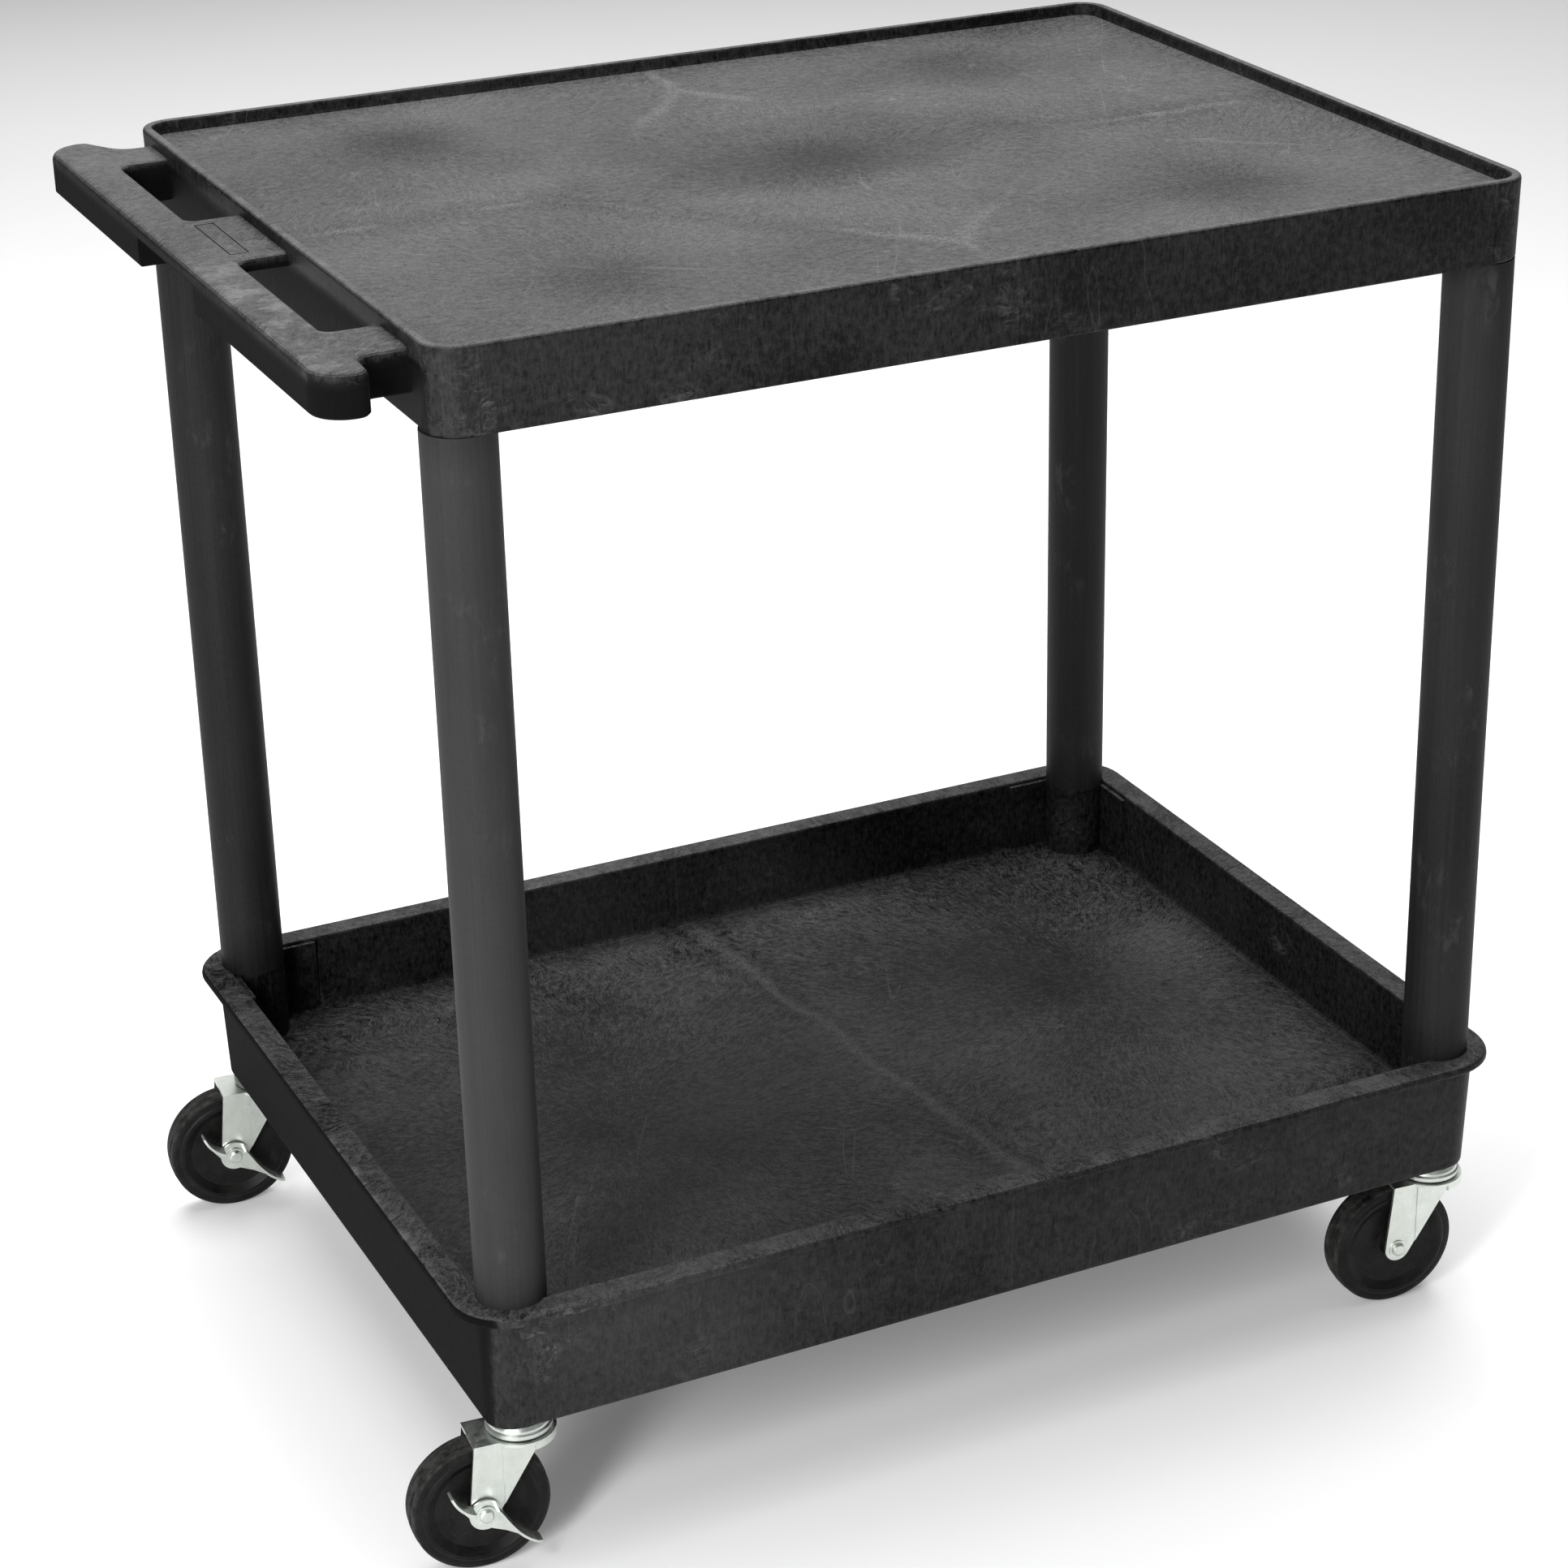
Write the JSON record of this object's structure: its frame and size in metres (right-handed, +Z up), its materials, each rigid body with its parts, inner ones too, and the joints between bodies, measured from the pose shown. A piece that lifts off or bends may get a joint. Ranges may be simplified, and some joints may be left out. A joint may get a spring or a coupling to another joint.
{
  "type": "rolling utility cart",
  "caption": "Moulded plastic utility cart: flat top shelf with moulded push handle, deep lower tub, round tube legs and swivel casters, some with side brake levers.",
  "frame": {"origin": "centre of the cart's bounding box, on the ground", "axes": "+Z up, +X along the cart away from the handle, +Y across the cart; the handle is on the -X side"},
  "size_m": [0.901, 0.647, 0.905],
  "materials": {
    "moulded_plastic": "textured satin",
    "leg_plastic": "smooth satin",
    "zinc": "bright zinc plate",
    "steel": "plain steel",
    "hard_rubber": "smooth, slight sheen"
  },
  "bodies": {
    "cart_frame": {"top_shelf": "moulded_plastic", "tub_shelf": "moulded_plastic", "leg_front_left": "leg_plastic", "leg_front_right": "leg_plastic", "leg_rear_left": "leg_plastic", "leg_rear_right": "leg_plastic", "stem_front_left": "steel", "stem_front_right": "steel", "stem_rear_left": "steel", "stem_rear_right": "steel", "raceway_cup_front_left": "zinc", "raceway_cup_front_right": "zinc", "raceway_cup_rear_left": "zinc", "raceway_cup_rear_right": "zinc"},
    "caster_front_left": {"fork_front_left": "zinc", "swivel_balls_front_left": "steel", "axle_bush_front_left": "steel", "axle_bolt_front_left": "zinc", "axle_nut_front_left": "zinc"},
    "caster_wheel_front_left": {"wheel_front_left": "hard_rubber"},
    "brake_front_left": {"brake_lever_front_left": "zinc"},
    "caster_front_right": {"fork_front_right": "zinc", "swivel_balls_front_right": "steel", "axle_bush_front_right": "steel", "axle_bolt_front_right": "zinc", "axle_nut_front_right": "zinc"},
    "caster_wheel_front_right": {"wheel_front_right": "hard_rubber"},
    "caster_rear_left": {"fork_rear_left": "zinc", "swivel_balls_rear_left": "steel", "axle_bush_rear_left": "steel", "axle_bolt_rear_left": "zinc", "axle_nut_rear_left": "zinc"},
    "caster_wheel_rear_left": {"wheel_rear_left": "hard_rubber"},
    "brake_rear_left": {"brake_lever_rear_left": "zinc"},
    "caster_rear_right": {"fork_rear_right": "zinc", "swivel_balls_rear_right": "steel", "axle_bush_rear_right": "steel", "axle_bolt_rear_right": "zinc", "axle_nut_rear_right": "zinc"},
    "caster_wheel_rear_right": {"wheel_rear_right": "hard_rubber"}
  },
  "joints": [
    {"name": "caster_swivel_front_left", "type": "hinge", "parent": "cart_frame", "child": "caster_front_left", "pos_m": [-0.3565, -0.284, 0.105], "axis": [0, 0, 1], "continuous": true},
    {"name": "wheel_roll_front_left", "type": "hinge", "parent": "caster_front_left", "child": "caster_wheel_front_left", "pos_m": [-0.38937, -0.28112, 0.051], "axis": [0.0872, 0.9962, 0], "continuous": true},
    {"name": "brake_press_front_left", "type": "hinge", "parent": "caster_front_left", "child": "brake_front_left", "pos_m": [-0.38937, -0.28112, 0.051], "axis": [-0.0872, -0.9962, 0], "range_deg": [0, 35]},
    {"name": "caster_swivel_front_right", "type": "hinge", "parent": "cart_frame", "child": "caster_front_right", "pos_m": [0.4075, -0.284, 0.105], "axis": [0, 0, 1], "continuous": true},
    {"name": "wheel_roll_front_right", "type": "hinge", "parent": "caster_front_right", "child": "caster_wheel_front_right", "pos_m": [0.37463, -0.28112, 0.051], "axis": [0.0872, 0.9962, 0], "continuous": true},
    {"name": "caster_swivel_rear_left", "type": "hinge", "parent": "cart_frame", "child": "caster_rear_left", "pos_m": [-0.3565, 0.284, 0.105], "axis": [0, 0, 1], "continuous": true},
    {"name": "wheel_roll_rear_left", "type": "hinge", "parent": "caster_rear_left", "child": "caster_wheel_rear_left", "pos_m": [-0.38937, 0.28688, 0.051], "axis": [0.0872, 0.9962, 0], "continuous": true},
    {"name": "brake_press_rear_left", "type": "hinge", "parent": "caster_rear_left", "child": "brake_rear_left", "pos_m": [-0.38937, 0.28688, 0.051], "axis": [-0.0872, -0.9962, 0], "range_deg": [0, 35]},
    {"name": "caster_swivel_rear_right", "type": "hinge", "parent": "cart_frame", "child": "caster_rear_right", "pos_m": [0.4075, 0.284, 0.105], "axis": [0, 0, 1], "continuous": true},
    {"name": "wheel_roll_rear_right", "type": "hinge", "parent": "caster_rear_right", "child": "caster_wheel_rear_right", "pos_m": [0.37463, 0.28688, 0.051], "axis": [0.0872, 0.9962, 0], "continuous": true}
  ]
}
